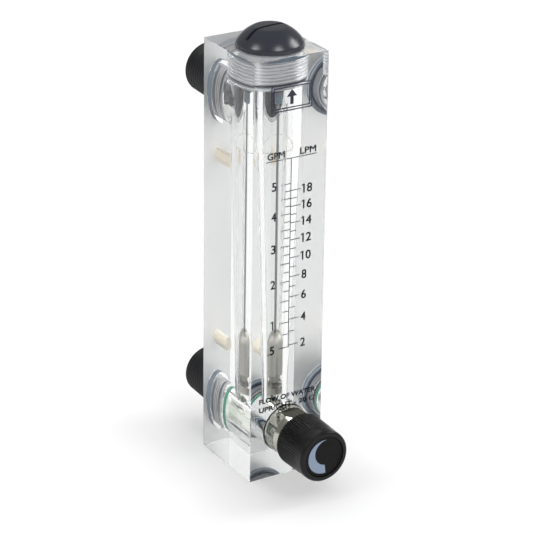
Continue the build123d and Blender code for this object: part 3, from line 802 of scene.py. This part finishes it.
words.extend(printed("LPM", *LITRES_ENDS, UNIT_FOOT, UNIT_HEIGHT))
for note, note_right, note_foot in (
    ("FLOW OF WATER", FLUID_RIGHT, FLUID_FOOT),
    ("UPRIGHT - 20 C", MOUNTING_RIGHT, MOUNTING_FOOT),
):
    words.extend(printed(note, NOTE_LEFT, note_right, note_foot, NOTE_HEIGHT, NOTE_SPREAD))
numbers = shown("scale_words", joined("scale_words", words), ink)
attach(numbers, "housing")

# Flow mark. A double frame at the top of the front face, in the ink of the scale, with an arrow
# that shows the way of the flow.
MARK_LEFT, MARK_RIGHT, MARK_BOTTOM, MARK_TOP = -8.6, 9.1, 149.7, 160.1
MARK_LINE = 0.46
MARK_STEP = 1.0
ARROW_X, ARROW_SHAFT, ARROW_HEAD = 0.25, 0.7, 2.2
ARROW_FOOT, ARROW_NECK, ARROW_TIP = MARK_BOTTOM + 2.4, MARK_TOP - 5.0, MARK_TOP - 2.2

head_left, head_right = ARROW_X - ARROW_HEAD, ARROW_X + ARROW_HEAD
mark = [
    bar(ARROW_X - ARROW_SHAFT, ARROW_X + ARROW_SHAFT, ARROW_FOOT, ARROW_NECK),
    stamp((head_left, ARROW_NECK), (head_right, ARROW_NECK), (ARROW_X, ARROW_TIP)),
]
for step in (0, MARK_STEP):
    left, right = MARK_LEFT + step, MARK_RIGHT - step
    bottom, top = MARK_BOTTOM + step, MARK_TOP - step
    mark.append(bar(left, right, bottom, bottom + MARK_LINE))
    mark.append(bar(left, right, top - MARK_LINE, top))
    mark.append(bar(left, left + MARK_LINE, bottom + MARK_LINE, top - MARK_LINE))
    mark.append(bar(right - MARK_LINE, right, bottom + MARK_LINE, top - MARK_LINE))
flow_mark = shown("flow_mark", joined("flow_mark", mark), ink)
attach(flow_mark, "housing")

# Studio. A white table that runs out to a white surround, three soft lamps high on the right, in
# front and on the left, each with a lamp that is only mirrored in what shines, and a pale room that
# is dim in mirrors. None of it is the meter's.
FLOOR_SIZE = 6.0
ROOM_LIGHT = 0.90
ROOM_MIRRORED = 0.30
FLOOR_GAP = 0.15
LAMP_AIM = (0, 0, 0.08)
LIGHT_BOUNCES = 24
SHADOW_BOUNCES = 16

floor_mesh = bpy.data.meshes.new("floor")
sides = ((-1, -1), (1, -1), (1, 1), (-1, 1))
corners = [(FLOOR_SIZE * x, FLOOR_SIZE * y, -FLOOR_GAP * MM) for x, y in sides]
floor_mesh.from_pydata(corners, [], [(0, 1, 2, 3)])
white = Finish(
    "white_table", base_color=(0.98, 0.98, 0.98), roughness=0.9, specular_ior_level=0.0
)
floor = shown("floor", floor_mesh, white)

world = bpy.data.worlds.new("studio")
bpy.context.scene.world = world
world.use_nodes = True
tree = world.node_tree
path = tree.nodes.new("ShaderNodeLightPath")
level = tree.nodes.new("ShaderNodeValue").outputs[0]
level.default_value = ROOM_LIGHT
for kind, strength in (("Glossy", ROOM_MIRRORED), ("Transmission", 1.0), ("Camera", 1.0)):
    choose = tree.nodes.new("ShaderNodeMix")
    choose.inputs["B"].default_value = strength
    tree.links.new(path.outputs[f"Is {kind} Ray"], choose.inputs["Factor"])
    tree.links.new(level, choose.inputs["A"])
    level = choose.outputs["Result"]
tree.links.new(level, tree.nodes["Background"].inputs["Strength"])
tree.nodes["Background"].inputs["Color"].default_value = (1, 1, 1, 1)


def softbox(name, place, width, height, power, glint=False):
    """A rectangular lamp at a place in metres that faces the middle of the meter. A glint lamp is
    only mirrored: it throws no light and can't be seen through the glass."""
    data = bpy.data.lights.new(name, "AREA")
    data.shape = "RECTANGLE"
    data.size = width
    data.size_y = height
    data.energy = power
    lamp = bpy.data.objects.new(name, data)
    lamp.location = place
    if glint:
        lamp.visible_diffuse = lamp.visible_transmission = False
    aim = Vector(LAMP_AIM) - Vector(place)
    lamp.rotation_euler = aim.to_track_quat("-Z", "Y").to_euler()
    bpy.context.scene.collection.objects.link(lamp)


softbox("right", (1.0, -0.27, 0.78), 0.5, 0.5, 3.0)
softbox("front", (0.06, -0.86, 1.0), 0.35, 0.35, 1.2)
softbox("left", (-0.92, -0.02, 0.95), 0.35, 0.35, 1.2)
softbox("right_glint", (1.1, -0.3, 0.86), 0.45, 0.45, 3.0, glint=True)
softbox("front_glint", (0.06, -0.95, 1.08), 0.45, 0.45, 3.0, glint=True)
softbox("left_glint", (-1.0, -0.02, 1.02), 0.45, 0.45, 3.0, glint=True)

scene = bpy.context.scene
scene.view_settings.view_transform = "Standard"
scene.cycles.max_bounces = LIGHT_BOUNCES
scene.cycles.glossy_bounces = LIGHT_BOUNCES
scene.cycles.transmission_bounces = LIGHT_BOUNCES
scene.cycles.transparent_max_bounces = SHADOW_BOUNCES
